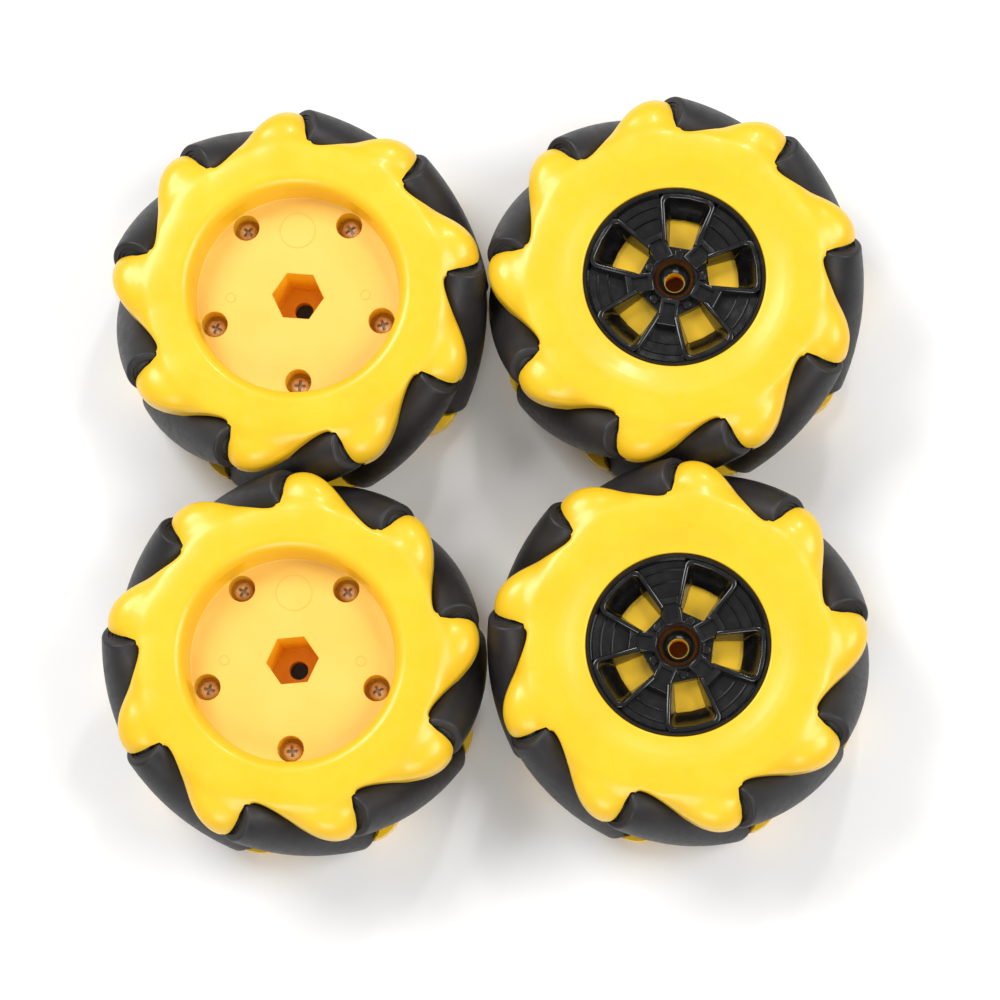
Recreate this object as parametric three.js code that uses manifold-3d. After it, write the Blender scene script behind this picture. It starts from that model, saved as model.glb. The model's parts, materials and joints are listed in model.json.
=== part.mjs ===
// A set of four 100 mm mecanum wheels, as they lie on a table before they are fitted to a robot.
// Two are left-handed and two are right-handed. Two show the inner face, with the hexagonal socket and
// five screws, and two show the outer face, with the hub cap.
//
// Each wheel is two lobed plates screwed together with nine barrel rollers between them. A roller's axle
// is skewed 45 degrees to the wheel's axis and its ends turn in the lobes of the two plates.
//
// Units are millimetres and +Z is up. A wheel is modelled about its own centre, with the centre plane at
// z = 0, and then turned over if needed and set down. The set stands on z = 0, centred on the origin.
import * as THREE from "three";
import { mergeVertices } from "three/addons/utils/BufferGeometryUtils.js";
import Module from "manifold-3d";

// --- Driving dimensions ---
const WHEEL_RADIUS = 50; // the cylinder that all nine rollers touch
const HALF_WIDTH = 21; // centre plane to the crown of either plate
const ROLLERS = 9;
const PITCH = 360 / ROLLERS; // degrees between rollers, and between lobes
const GAP = 0.3; // kept between pieces that touch

const ROLLER_RADIUS = 8.6; // at the middle of the barrel
const ROLLER_HALF = 22; // barrel's half length along its axle
const SHOULDER_BALL = 12; // places along the axle of the balls that shape the barrel: see barrelPoint
const LAST_BALL = 19.6;
const ROLLER_CLEARANCE = 1;
const AXLE_RADIUS = 1.25;
const AXLE_HALF = 24.2;
const AXLE_CLEARANCE = 0.45;
const AXLE_CIRCLE = WHEEL_RADIUS - ROLLER_RADIUS; // distance between the roller's and the wheel's axes
const SKEW = THREE.MathUtils.degToRad(45);

const LOBE_TIP = 49.2;
const NOTCH_RADIUS = 39.4; // bottom of the notch between two lobes
const NOTCH_PHASE = 13; // degrees from a roller's middle to the notch that its upper end fills
const LOBE_DROP = 5.8; // how far a lobe's tip curves down below the crown
const NOTCH_DROP = 1.0;
const LOBE_UNDERSIDE = 11;
const SHOULDER_OUT = 0.7; // where a lobe's top turns down, in parts of the way from the crown to its edge
const SHOULDER_DROP = 0.22; // in parts of the drop at its edge

const CROWN_OUTER = 36; // flat top of the crown runs from CROWN_INNER to here
const CROWN_INNER = 31;
const DRUM_OUTER = 31.5; // wall that joins the two plates inside the rollers
const DRUM_INNER = 29;

const RECESS_RADIUS = 27; // flat floor on the inner side
const MOUTH_RADIUS = 28.8; // where the recess's wall turns out to the crown
const MOUTH_DROP = 3;
const RECESS_FLOOR = 10.7; // height of that floor above the centre plane
const FLOOR_THICKNESS = 2.7;
const HEX_FLATS = 12; // socket for a standard 12 mm hexagonal coupling
const HEX_DEPTH = 18.7;
const HEX_WALL = 2.4;
const HEX_PHASE = 6.6; // degrees from a roller's middle to a corner of the socket
const THROUGH_HOLE = 2.5; // radius of the coupling screw's hole
const EMBED = 1; // how far a boss or socket runs into the plate that carries it

const SCREWS = 5;
const SCREW_CIRCLE = 23.3;
const SCREW_PHASE = 18.15; // degrees from a roller's middle to a screw
const POCKET_RADIUS = 3.1;
const POCKET_SEAT = 3.5; // height of the seat under a screw head
const BOSS_RADIUS = 4.6;
const SCREW_HEAD_RADIUS = 2.5;
const SCREW_HEAD_HEIGHT = 2.2;
const SCREW_SHANK_RADIUS = 1.3;
const SCREW_LENGTH = 11;
const SCREW_HOLE = SCREW_SHANK_RADIUS + 2 * GAP;
const PILOT_DEPTH = SCREW_LENGTH - POCKET_SEAT + 2 * GAP; // reach of the screws into the outer plate

const CAP_OPENING = 24; // radius of the opening in the outer plate
const CAP_RADIUS = 23.2;
const CAP_RIM_TOP = 19.2;
const WEB_TOP = 11.5; // web of the outer plate, behind the cap
const WEB_THICKNESS = 2.5;
const WEB_HOLE = HEX_FLATS / 2 + HEX_WALL + 2.5; // radius of the hole that the socket passes into
const CAP_HUB_RADIUS = 6;
const CAP_HUB_TOP = 16.2;
const CAP_BORE = 3;
const CAP_LEDGE_RADIUS = 21.6; // the dish slopes from here, at CAP_LEDGE, down to its floor
const CAP_LEDGE = 16.4;
const CAP_FLOOR_RADIUS = 14.5;
const CAP_FLOOR = 13.6;
const SPOKES = 5;
const BRACKET = { inner: 8, outer: 21.8, innerHalf: 4.9, outerHalf: 6.6, bottom: 12.5, top: 17.6 };
const WINDOW = { inner: 9.5, outer: 19.8, innerHalf: 3.4, outerHalf: 4.6, bottom: 10.5, top: 20.2 };

// Segments round each kind of piece
const ROLLER_SEGMENTS = 8;
const DRUM_SEGMENTS = 2 * ROLLERS;
const CAP_SEGMENTS = 20;
const SMALL_SEGMENTS = 6;
const HOLE_SEGMENTS = 8;

// Where each wheel lies: hand is +1 where the upper end of a roller leans anticlockwise, seen from above.
// turn and capTurn are in degrees, anticlockwise.
const WHEELS = [
  { name: "wheel_a", hand: 1, outerUp: false, x: -50.2, y: 47.2, turn: 109.0, capTurn: 0 },
  { name: "wheel_b", hand: 1, outerUp: true, x: 49.5, y: 50.3, turn: 31.9, capTurn: 8.2 },
  { name: "wheel_c", hand: -1, outerUp: false, x: -50.0, y: -50.3, turn: 71.9, capTurn: 0 },
  { name: "wheel_d", hand: -1, outerUp: true, x: 50.7, y: -47.2, turn: -10.0, capTurn: -6.7 },
];

const YELLOW = new THREE.MeshStandardMaterial({ color: 0xf7c913, roughness: 0.28 });
const RUBBER = new THREE.MeshStandardMaterial({ color: 0x1b1a1b, roughness: 0.7 });
const BLACK = new THREE.MeshStandardMaterial({ color: 0x0c0c0e, roughness: 0.22 });
const BRASSY = new THREE.MeshStandardMaterial({ color: 0xa8764a, roughness: 0.3, metalness: 1 });

const wasm = await Module();
wasm.setup();
const rad = THREE.MathUtils.degToRad;

// --- Solids ---

function solidOf(geometry) {
  const bare = new THREE.BufferGeometry().setAttribute("position", geometry.getAttribute("position"));
  if (geometry.index) bare.setIndex(geometry.index);
  const merged = mergeVertices(bare, 1e-4);
  return new wasm.Manifold(
    new wasm.Mesh({
      numProp: 3,
      vertProperties: new Float32Array(merged.attributes.position.array),
      triVerts: new Uint32Array(merged.index.array),
    }),
  );
}

function geometryOf(solid) {
  const mesh = solid.getMesh();
  return new THREE.BufferGeometry()
    .setAttribute("position", new THREE.BufferAttribute(new Float32Array(mesh.vertProperties), 3))
    .setIndex(new THREE.BufferAttribute(new Uint32Array(mesh.triVerts), 1));
}

function cut(solid, cutters) {
  return cutters.reduce((left, cutter) => left.subtract(solidOf(cutter)), solid);
}

function join(solid, pieces) {
  return pieces.reduce((whole, piece) => whole.add(solidOf(piece)), solid);
}

// The mirror image in the plane y = 0, with its faces turned back out.
function mirrored(geometry) {
  const copy = geometry.clone().scale(1, -1, 1);
  const index = copy.index.array;
  for (let i = 0; i < index.length; i += 3) {
    [index[i + 1], index[i + 2]] = [index[i + 2], index[i + 1]];
  }
  return copy;
}

// Turns a profile of [radius, height] points, listed upwards along the outside, about the Z axis.
function turned(profile, segments) {
  const points = profile.map(([radius, height]) => new THREE.Vector2(radius, height));
  return new THREE.LatheGeometry(points, segments).rotateX(Math.PI / 2);
}

function cylinder(radius, bottom, top, segments) {
  const profile = [[0, bottom], [radius, bottom], [radius, top], [0, top]];
  return turned(profile, segments);
}

function hexPrism(flats, bottom, top) {
  return cylinder(flats / 2 / Math.cos(Math.PI / 6), bottom, top, 6).rotateZ(Math.PI / 2 + rad(HEX_PHASE));
}

function roundTheCircle(count, phase, make) {
  return Array.from({ length: count }, (_, i) => make().rotateZ(rad(phase + (i * 360) / count)));
}

// --- Rollers ---

// A ball centred s along the axle touches the wheel's cylinder at this radius, and the barrel is the
// surface that wraps all those balls.
function barrelPoint(s) {
  const fromWheelAxis = Math.hypot(AXLE_CIRCLE, s * Math.sin(SKEW));
  const ball = WHEEL_RADIUS - fromWheelAxis;
  const slope = (-s * Math.sin(SKEW) ** 2) / fromWheelAxis;
  return [ball * Math.sqrt(1 - slope * slope), s - ball * slope];
}

function rollerAlongZ() {
  const [midRadius] = barrelPoint(0);
  const [endRadius] = barrelPoint(LAST_BALL);
  const [bodyRadius, bodyHeight] = barrelPoint(SHOULDER_BALL);
  const profile = [
    [0, -AXLE_HALF],
    [AXLE_RADIUS, -AXLE_HALF],
    [AXLE_RADIUS, -ROLLER_HALF],
    [endRadius, -ROLLER_HALF],
    [bodyRadius, -bodyHeight],
    [midRadius, 0],
    [bodyRadius, bodyHeight],
    [endRadius, ROLLER_HALF],
    [AXLE_RADIUS, ROLLER_HALF],
    [AXLE_RADIUS, AXLE_HALF],
    [0, AXLE_HALF],
  ];
  return turned(profile, ROLLER_SEGMENTS);
}

// The room that the upper half of a roller and its axle need in a plate.
function rollerRoom() {
  const grow = ROLLER_CLEARANCE / Math.cos(Math.PI / ROLLER_SEGMENTS);
  const end = ROLLER_HALF + ROLLER_CLEARANCE;
  const hole = AXLE_RADIUS + AXLE_CLEARANCE;
  const [endRadius] = barrelPoint(LAST_BALL);
  const [bodyRadius, bodyHeight] = barrelPoint(SHOULDER_BALL);
  const profile = [
    [0, 0],
    [ROLLER_RADIUS + grow, 0],
    [bodyRadius + grow, bodyHeight],
    [endRadius + grow, end],
    [hole, end],
    [hole, AXLE_HALF + GAP],
    [0, AXLE_HALF + GAP],
  ];
  return turned(profile, ROLLER_SEGMENTS);
}

// Leans a piece from the Z axis to the roller's own place, then round the wheel to roller k.
function atRoller(geometry, k) {
  return geometry
    .rotateX(-SKEW)
    .translate(AXLE_CIRCLE, 0, 0)
    .rotateZ(rad(k * PITCH));
}

// --- Plates ---

// One lobe's outline, from the bottom of one notch towards the next: [degrees, radius].
const LOBE = [
  [0, NOTCH_RADIUS],
  [3.2, 40.2],
  [4.7, 46.8],
  [12, LOBE_TIP],
  [25, 44.3],
];

// A closed surface that runs from ring to ring. A ring is a list of [degrees, radius, height], going
// anticlockwise, and two neighbouring rings may hold different numbers of points.
function skinned(rings) {
  const positions = [];
  const index = [];
  const starts = [];
  for (const ring of rings) {
    starts.push(positions.length / 3);
    for (const [degrees, radius, height] of ring) {
      positions.push(radius * Math.cos(rad(degrees)), radius * Math.sin(rad(degrees)), height);
    }
  }
  const at = (r, i) => starts[r] + (i % rings[r].length);
  const angle = (r, i) => rings[r][i % rings[r].length][0] + 360 * Math.floor(i / rings[r].length);
  for (let r = 0; r < rings.length; r++) {
    const next = (r + 1) % rings.length;
    let i = 0;
    let j = 0;
    while (i < rings[r].length || j < rings[next].length) {
      const nearer = i < rings[r].length && angle(r, i + 1) <= angle(next, j + 1);
      const alongThis = j === rings[next].length || nearer;
      const third = alongThis ? at(r, i + 1) : at(next, j + 1);
      index.push(at(r, i), third, at(next, j));
      if (alongThis) i++;
      else j++;
    }
  }
  return new THREE.BufferGeometry()
    .setAttribute("position", new THREE.Float32BufferAttribute(positions, 3))
    .setIndex(index);
}

function circle(radius, height) {
  const step = 360 / DRUM_SEGMENTS;
  return Array.from({ length: DRUM_SEGMENTS }, (_, i) => [NOTCH_PHASE + i * step, radius, height]);
}

// A ring like the lobes' outline, some part of the way out to it from the crown. Its height depends on how
// far out the outline is there.
function outline(outward, heightAt) {
  const ring = [];
  for (let k = 0; k < ROLLERS; k++) {
    for (const [degrees, edge] of LOBE) {
      const radius = THREE.MathUtils.lerp(CROWN_OUTER, edge, outward);
      ring.push([NOTCH_PHASE + k * PITCH + degrees, radius, heightAt(edge)]);
    }
  }
  return ring;
}

// How far the top has curved down at the edge of a lobe, which is more the further out the edge is.
function dropAt(edge) {
  const share = (edge - NOTCH_RADIUS) / (LOBE_TIP - NOTCH_RADIUS);
  return THREE.MathUtils.lerp(NOTCH_DROP, LOBE_DROP, share);
}

// The outside of a plate, from the drum's foot up round the lobes to the crown's inner edge.
function lobedSide() {
  return [
    circle(DRUM_INNER, GAP / 2),
    circle(DRUM_OUTER, GAP / 2),
    circle(DRUM_OUTER, LOBE_UNDERSIDE),
    outline(1, () => LOBE_UNDERSIDE),
    outline(1, (edge) => HALF_WIDTH - dropAt(edge)),
    outline(SHOULDER_OUT, (edge) => HALF_WIDTH - SHOULDER_DROP * dropAt(edge)),
    circle(CROWN_OUTER, HALF_WIDTH),
    circle(CROWN_INNER, HALF_WIDTH),
  ];
}

function rollerRooms() {
  return Array.from({ length: ROLLERS }, (_, k) => atRoller(rollerRoom(), k));
}

// Makes cylinders at the first screw's place, for roundTheCircle.
const atScrew = (radius, bottom, top, segments) => () =>
  cylinder(radius, bottom, top, segments).translate(SCREW_CIRCLE, 0, 0);

// The plate on the inner side: a dished floor with the hexagonal socket and the sunk screws.
function hubPlate() {
  const floorBottom = RECESS_FLOOR - FLOOR_THICKNESS;
  const socketBottom = RECESS_FLOOR - HEX_DEPTH;
  const shell = skinned([
    circle(THROUGH_HOLE, floorBottom),
    circle(DRUM_INNER, floorBottom),
    ...lobedSide(),
    circle(MOUTH_RADIUS, HALF_WIDTH - MOUTH_DROP),
    circle(RECESS_RADIUS, RECESS_FLOOR),
    circle(THROUGH_HOLE, RECESS_FLOOR),
  ]);
  const socket = hexPrism(HEX_FLATS + 2 * HEX_WALL, socketBottom - HEX_WALL, RECESS_FLOOR - EMBED);
  const boss = atScrew(BOSS_RADIUS, GAP / 2, RECESS_FLOOR - EMBED, SMALL_SEGMENTS);
  const pocket = atScrew(POCKET_RADIUS, POCKET_SEAT, HALF_WIDTH, HOLE_SEGMENTS);
  const hole = atScrew(SCREW_HOLE, -EMBED, POCKET_SEAT + EMBED, SMALL_SEGMENTS);
  const whole = join(solidOf(shell), [socket, ...roundTheCircle(SCREWS, SCREW_PHASE, boss)]);
  return cut(whole, [
    hexPrism(HEX_FLATS, socketBottom, HALF_WIDTH),
    cylinder(THROUGH_HOLE, socketBottom - HEX_WALL - EMBED, socketBottom + EMBED, HOLE_SEGMENTS),
    ...roundTheCircle(SCREWS, SCREW_PHASE, pocket),
    ...roundTheCircle(SCREWS, SCREW_PHASE, hole),
    ...rollerRooms(),
  ]);
}

// The plate on the outer side: an annulus that slopes in to the hub cap, and a web behind the cap.
// It is modelled facing up, as the inner plate is, so its screw bosses run the other way round.
function rimPlate() {
  const webBottom = WEB_TOP - WEB_THICKNESS;
  const shell = skinned([
    circle(WEB_HOLE, webBottom),
    circle(DRUM_INNER, webBottom),
    ...lobedSide(),
    circle(CAP_OPENING, CAP_RIM_TOP),
    circle(CAP_OPENING, WEB_TOP),
    circle(WEB_HOLE, WEB_TOP),
  ]);
  const boss = atScrew(BOSS_RADIUS, GAP / 2, WEB_TOP - EMBED, SMALL_SEGMENTS);
  const pilot = atScrew(SCREW_HOLE, -EMBED, PILOT_DEPTH, SMALL_SEGMENTS);
  const whole = join(solidOf(shell), roundTheCircle(SCREWS, -SCREW_PHASE, boss));
  return cut(whole, [...roundTheCircle(SCREWS, -SCREW_PHASE, pilot), ...rollerRooms()]);
}

// --- Hub cap ---

// A wedge that straddles the X axis, from its inner to its outer end.
function wedge({ inner, outer, innerHalf, outerHalf, bottom, top }) {
  const shape = new THREE.Shape();
  shape.moveTo(inner, -innerHalf);
  shape.lineTo(outer, -outerHalf);
  shape.lineTo(outer, outerHalf);
  shape.lineTo(inner, innerHalf);
  shape.closePath();
  const block = new THREE.ExtrudeGeometry(shape, { depth: top - bottom, bevelEnabled: false });
  return block.translate(0, 0, bottom);
}

// A dish with five windows. A raised bracket runs round the outside of each window and down both of its
// sides to the hub, like a pair of spokes.
function hubCap() {
  const base = WEB_TOP + GAP;
  const profile = [
    [CAP_BORE, base],
    [CAP_RADIUS, base],
    [CAP_RADIUS, CAP_RIM_TOP],
    [CAP_LEDGE_RADIUS, CAP_LEDGE],
    [CAP_FLOOR_RADIUS, CAP_FLOOR],
    [CAP_HUB_RADIUS + 1, CAP_FLOOR],
    [CAP_HUB_RADIUS, CAP_HUB_TOP],
    [CAP_BORE, CAP_HUB_TOP],
    [CAP_BORE, base],
  ];
  const dish = solidOf(turned(profile, CAP_SEGMENTS));
  const bracketed = join(dish, roundTheCircle(SPOKES, 0, () => wedge(BRACKET)));
  return cut(bracketed, roundTheCircle(SPOKES, 0, () => wedge(WINDOW)));
}

// --- Screws ---

function screw() {
  const profile = [
    [0, -SCREW_LENGTH],
    [SCREW_SHANK_RADIUS, -SCREW_LENGTH],
    [SCREW_SHANK_RADIUS, 0],
    [SCREW_HEAD_RADIUS, 0],
    [SCREW_HEAD_RADIUS, SCREW_HEAD_HEIGHT * 0.6],
    [SCREW_HEAD_RADIUS * 0.55, SCREW_HEAD_HEIGHT],
    [0, SCREW_HEAD_HEIGHT],
  ];
  return geometryOf(solidOf(turned(profile, SMALL_SEGMENTS)));
}

// --- Assembly ---

const handed = (geometry, hand) => (hand > 0 ? geometry.clone() : mirrored(geometry));
const hubPlateShape = geometryOf(hubPlate());
const rimPlateShape = geometryOf(rimPlate());
const capShape = geometryOf(hubCap());
const rollerShape = geometryOf(solidOf(rollerAlongZ()));
const screwShape = screw();

function named(name, geometry, material) {
  const mesh = new THREE.Mesh(geometry, material);
  mesh.name = name;
  return mesh;
}

// A wheel with its inner side facing up. A half turn about the X axis, which runs through the middle of
// the first roller, brings the outer side up and leaves the hand as it was.
function wheel({ name, hand, outerUp, capTurn, turn }) {
  const parts = new THREE.Group();
  parts.add(named(`${name}_hub_plate`, handed(hubPlateShape, hand), YELLOW));
  parts.add(named(`${name}_rim_plate`, handed(rimPlateShape, hand).rotateX(Math.PI), YELLOW));

  const cap = named(`${name}_hub_cap`, capShape.clone().rotateX(Math.PI), BLACK);
  const facing = outerUp ? -1 : 1;
  cap.rotation.z = facing * rad(capTurn - turn);
  parts.add(cap);

  for (let k = 0; k < ROLLERS; k++) {
    const placed = handed(atRoller(rollerShape.clone(), k), hand);
    parts.add(named(`${name}_roller_${k + 1}`, placed, RUBBER));
  }
  if (!outerUp) {
    for (let i = 0; i < SCREWS; i++) {
      const angle = hand * rad(SCREW_PHASE + (i * 360) / SCREWS);
      const piece = named(`${name}_screw_${i + 1}`, screwShape.clone(), BRASSY);
      piece.position.set(SCREW_CIRCLE * Math.cos(angle), SCREW_CIRCLE * Math.sin(angle), POCKET_SEAT + GAP);
      parts.add(piece);
    }
  }
  if (outerUp) parts.rotation.x = Math.PI;
  return parts;
}

function layOut() {
  const set = new THREE.Group();
  for (const place of WHEELS) {
    const standing = new THREE.Group();
    standing.add(wheel(place));
    standing.position.set(place.x, place.y, 0);
    standing.rotation.z = rad(place.turn);
    set.add(standing);
  }
  set.updateMatrixWorld(true);
  const box = new THREE.Box3().setFromObject(set, true);
  const middle = box.getCenter(new THREE.Vector3());
  set.position.set(-middle.x, -middle.y, -box.min.z);
  return set;
}

export default layOut();
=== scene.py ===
"""The looks of a set of four mecanum wheels: yellow plates, rubber rollers, black hub caps and screws.

Shapes are made once, in millimetres, about a wheel's own centre: its inner side faces +Z and the
middle of its first roller lies on +X. Each shape is then copied into the four wheels' places.
"""

import json
import math

import bmesh
import bpy
import numpy as np
from mathutils import Matrix, Vector

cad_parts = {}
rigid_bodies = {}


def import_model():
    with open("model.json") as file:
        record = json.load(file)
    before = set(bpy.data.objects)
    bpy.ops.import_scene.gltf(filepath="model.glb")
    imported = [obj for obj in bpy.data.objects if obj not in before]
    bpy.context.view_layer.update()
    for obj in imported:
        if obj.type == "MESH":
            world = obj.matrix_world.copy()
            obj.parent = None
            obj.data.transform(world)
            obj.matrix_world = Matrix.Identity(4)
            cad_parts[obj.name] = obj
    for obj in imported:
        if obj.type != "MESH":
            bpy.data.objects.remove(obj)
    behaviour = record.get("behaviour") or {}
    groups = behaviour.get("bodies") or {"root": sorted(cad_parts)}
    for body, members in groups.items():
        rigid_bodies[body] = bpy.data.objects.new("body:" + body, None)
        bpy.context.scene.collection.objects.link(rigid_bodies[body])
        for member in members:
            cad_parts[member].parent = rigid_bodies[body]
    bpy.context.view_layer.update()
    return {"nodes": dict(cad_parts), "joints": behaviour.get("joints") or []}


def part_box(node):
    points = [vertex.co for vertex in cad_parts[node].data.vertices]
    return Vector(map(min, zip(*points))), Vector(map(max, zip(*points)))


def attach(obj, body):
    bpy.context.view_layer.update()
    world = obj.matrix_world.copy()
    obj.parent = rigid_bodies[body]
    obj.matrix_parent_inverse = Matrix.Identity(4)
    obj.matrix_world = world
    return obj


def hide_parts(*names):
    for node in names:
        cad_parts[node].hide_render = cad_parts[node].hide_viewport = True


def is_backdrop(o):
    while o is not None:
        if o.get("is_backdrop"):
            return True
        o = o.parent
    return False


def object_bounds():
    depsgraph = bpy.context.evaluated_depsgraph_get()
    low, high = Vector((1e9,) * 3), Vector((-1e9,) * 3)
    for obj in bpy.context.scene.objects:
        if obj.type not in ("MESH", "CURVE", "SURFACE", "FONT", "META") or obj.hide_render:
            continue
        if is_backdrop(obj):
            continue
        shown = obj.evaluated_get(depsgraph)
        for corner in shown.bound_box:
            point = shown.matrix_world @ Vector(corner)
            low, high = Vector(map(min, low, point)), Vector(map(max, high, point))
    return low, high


# --- Driving dimensions, in millimetres and degrees ---
MM = 0.001
WHEELS = ("wheel_a", "wheel_b", "wheel_c", "wheel_d")
CAP_TURNS = {"wheel_a": 0.0, "wheel_b": 8.2, "wheel_c": 0.0, "wheel_d": -6.7}  # world angle of a window
WHEEL_RADIUS = 50.0
HALF_WIDTH = 21.0
ROLLERS = 9
PITCH = 360 / ROLLERS
SKEW = math.radians(45)

ROLLER_RADIUS = 8.6
ROLLER_HALF = 22.0
LAST_BALL = 19.6  # place along the axle of the last ball that shapes the barrel: see barrel_point
ROLLER_CLEARANCE = 0.6
CORE_RADIUS = 3.3
PIN_RADIUS = 1.25
PIN_HALF = 23.5
AXLE_CIRCLE = WHEEL_RADIUS - ROLLER_RADIUS

NOTCH_PHASE = 13.0  # degrees from a roller's middle to the notch that its upper end fills
LOBE_UNDERSIDE = 11.0
CROWN = 33.0  # radius of the crown's flat top
DRUM_OUTER = 31.5
DRUM_INNER = 29.0
JOINT_GAP = 0.15  # from the centre plane to either plate

RECESS_RADIUS = 26.8
RECESS_FLOOR = 10.7
FLOOR_THICKNESS = 2.7
HEX_FLATS = 12.0
HEX_DEPTH = 18.7
HEX_WALL = 2.4
HEX_PHASE = 6.6
THROUGH_HOLE = 2.5

SCREWS = 5
SCREW_CIRCLE = 23.3
SCREW_PHASE = 18.15
POCKET_RADIUS = 3.45
POCKET_SEAT = 3.5
BOSS_RADIUS = 4.8
SCREW_HEAD = 2.65
SCREW_HEAD_HEIGHT = 2.3
SCREW_SHANK = 1.4
SCREW_LENGTH = 11.0
THREAD_PITCH = 0.9
SHANK_HOLE = 1.9

CAP_OPENING = 24.0
CAP_RADIUS = 23.85
CAP_RIM_TOP = 19.2
WEB_TOP = 11.5
WEB_THICKNESS = 2.5
WEB_HOLE = 10.9
WEB_EYE = 2.5  # the web thins out over the socket's bottom, down to this radius
CAP_BASE = 11.8
CAP_BORE = 2.65
WINDOWS = 5
FRAME_TOP = 18.4  # top of the raised bars round the cap's windows

# --- Fineness ---
LOBE_COLUMNS = 48  # columns of the plates' surface over one lobe
DOME_ROWS = 26
DOME_CROWDING = 1.7  # more than 1 crowds the rows towards the outline
BARREL_STEPS = 14  # rings from the barrel's middle to either end
ROUND = 96
SHARP_ANGLE = math.radians(32)  # edges bent more than this stay crisp


# --- Meshes ---


def mesh_object(name, points, faces):
    """A loose mesh object from points in millimetres."""
    mesh = bpy.data.meshes.new(name)
    mesh.from_pydata([tuple(p) for p in points], [], faces)
    mesh.update()
    made = bpy.data.objects.new(name, mesh)
    bpy.context.scene.collection.objects.link(made)
    return made


def skin(name, rings, closed=False):
    """A closed surface through rings of equally many points.

    With closed, the last ring is joined to the first; otherwise both are capped.
    """
    count = len(rings[0])
    points = np.concatenate([np.asarray(ring, float) for ring in rings])
    faces = []
    steps = len(rings) if closed else len(rings) - 1
    for row in range(steps):
        here = row * count
        there = ((row + 1) % len(rings)) * count
        for i in range(count):
            j = (i + 1) % count
            faces.append((here + i, here + j, there + j, there + i))
    if not closed:
        faces.append(tuple(reversed(range(count))))
        faces.append(tuple(range((len(rings) - 1) * count, len(rings) * count)))
    return mesh_object(name, points, faces)


def circle(radius, height, segments=ROUND, start=0.0):
    """A ring of points about the Z axis, from an angle in degrees."""
    angles = np.radians(start) + np.linspace(0, 2 * math.pi, segments, endpoint=False)
    heights = np.full(segments, height)
    return np.stack([radius * np.cos(angles), radius * np.sin(angles), heights], 1)


def turned(name, profile, segments=ROUND, closed=False):
    """A profile of (radius, height), listed upwards along the outside, turned about the Z axis."""
    return skin(name, [circle(r, z, segments) for r, z in profile], closed)


def prism(name, outline, bottom, top, bevel=0.0):
    """An upright block over a flat outline, with its upper edges rounded."""
    rings = [[(x, y, z) for x, y in outline] for z in (bottom, top)]
    block = skin(name, rings)
    if bevel:
        shape = bmesh.new()
        shape.from_mesh(block.data)
        upper = [e for e in shape.edges if min(v.co.z for v in e.verts) > top - 1e-4]
        bmesh.ops.bevel(shape, geom=upper, offset=bevel, segments=3, profile=0.5, affect="EDGES")
        shape.to_mesh(block.data)
        shape.free()
    return block


def moved(thing, matrix):
    """The same object, with its mesh moved."""
    thing.data.transform(matrix)
    return thing


def copied(thing, matrix):
    """A copy with a mesh of its own, moved."""
    twin = thing.copy()
    twin.data = thing.data.copy()
    bpy.context.scene.collection.objects.link(twin)
    return moved(twin, matrix)


def removed(thing):
    mesh = thing.data
    bpy.data.objects.remove(thing)
    bpy.data.meshes.remove(mesh)


def merged(name, things):
    """One object that holds the shapes of several, which are removed."""
    whole = bmesh.new()
    for thing in things:
        whole.from_mesh(thing.data)
        removed(thing)
    mesh = bpy.data.meshes.new(name)
    whole.to_mesh(mesh)
    whole.free()
    made = bpy.data.objects.new(name, mesh)
    bpy.context.scene.collection.objects.link(made)
    return made


def boolean(target, tool, operation):
    """Joins tool to target, or cuts it away, and removes tool."""
    step = target.modifiers.new("step", "BOOLEAN")
    step.operation = operation
    step.solver = "MANIFOLD"
    step.object = tool
    bpy.context.view_layer.update()
    seen = target.evaluated_get(bpy.context.evaluated_depsgraph_get())
    mesh = bpy.data.meshes.new_from_object(seen)
    target.modifiers.remove(step)
    old = target.data
    target.data = mesh
    bpy.data.meshes.remove(old)
    removed(tool)
    return target


def spun(thing, count, phase=0.0):
    """Copies of a shape at equal steps round the Z axis, the original among them."""
    turns = [Matrix.Rotation(math.radians(phase + i * 360 / count), 4, "Z") for i in range(count)]
    made = [copied(thing, turn) for turn in turns]
    removed(thing)
    return made


def arc(centre, radius, start, end, steps):
    """Points (radius, height) along an arc, from one angle in degrees to another."""
    angles = np.radians(np.linspace(start, end, steps + 1))
    return [(centre[0] + radius * math.cos(a), centre[1] + radius * math.sin(a)) for a in angles]


# --- Rollers ---


def barrel_point(s, grow=0.0):
    """A point (radius, height) on the barrel, thickened by grow.

    A ball centred s along the axle touches the wheel's cylinder, and the barrel wraps all those balls.
    """
    from_axis = math.hypot(AXLE_CIRCLE, s * math.sin(SKEW))
    ball = WHEEL_RADIUS - from_axis
    slope = -s * math.sin(SKEW) ** 2 / from_axis
    return ball * math.sqrt(1 - slope * slope) + grow, s - ball * slope


def barrel(grow=0.0):
    """The barrel's profile from end to end, thickened by grow."""
    places = np.linspace(-LAST_BALL, LAST_BALL, 2 * BARREL_STEPS + 1)
    return [barrel_point(s, grow) for s in places]


def rubber_sleeve():
    """The barrel, with rounded ends, a shallow step in each end face and the core's bore through it."""
    rim = barrel_point(LAST_BALL)
    corner = rim[0] - 0.95
    upper = [(corner + 0.95, ROLLER_HALF - 0.9)]
    upper += arc((corner + 0.1, ROLLER_HALF - 0.8), 0.8, 10, 90, 5)
    upper += [(corner - 0.9, ROLLER_HALF), (corner - 1.1, ROLLER_HALF - 0.35)]
    upper += [(CORE_RADIUS, ROLLER_HALF - 0.4)]
    lower = [(r, -z) for r, z in reversed(upper)]
    return turned("sleeve", lower + barrel()[1:-1] + upper, 64, closed=True)


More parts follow.
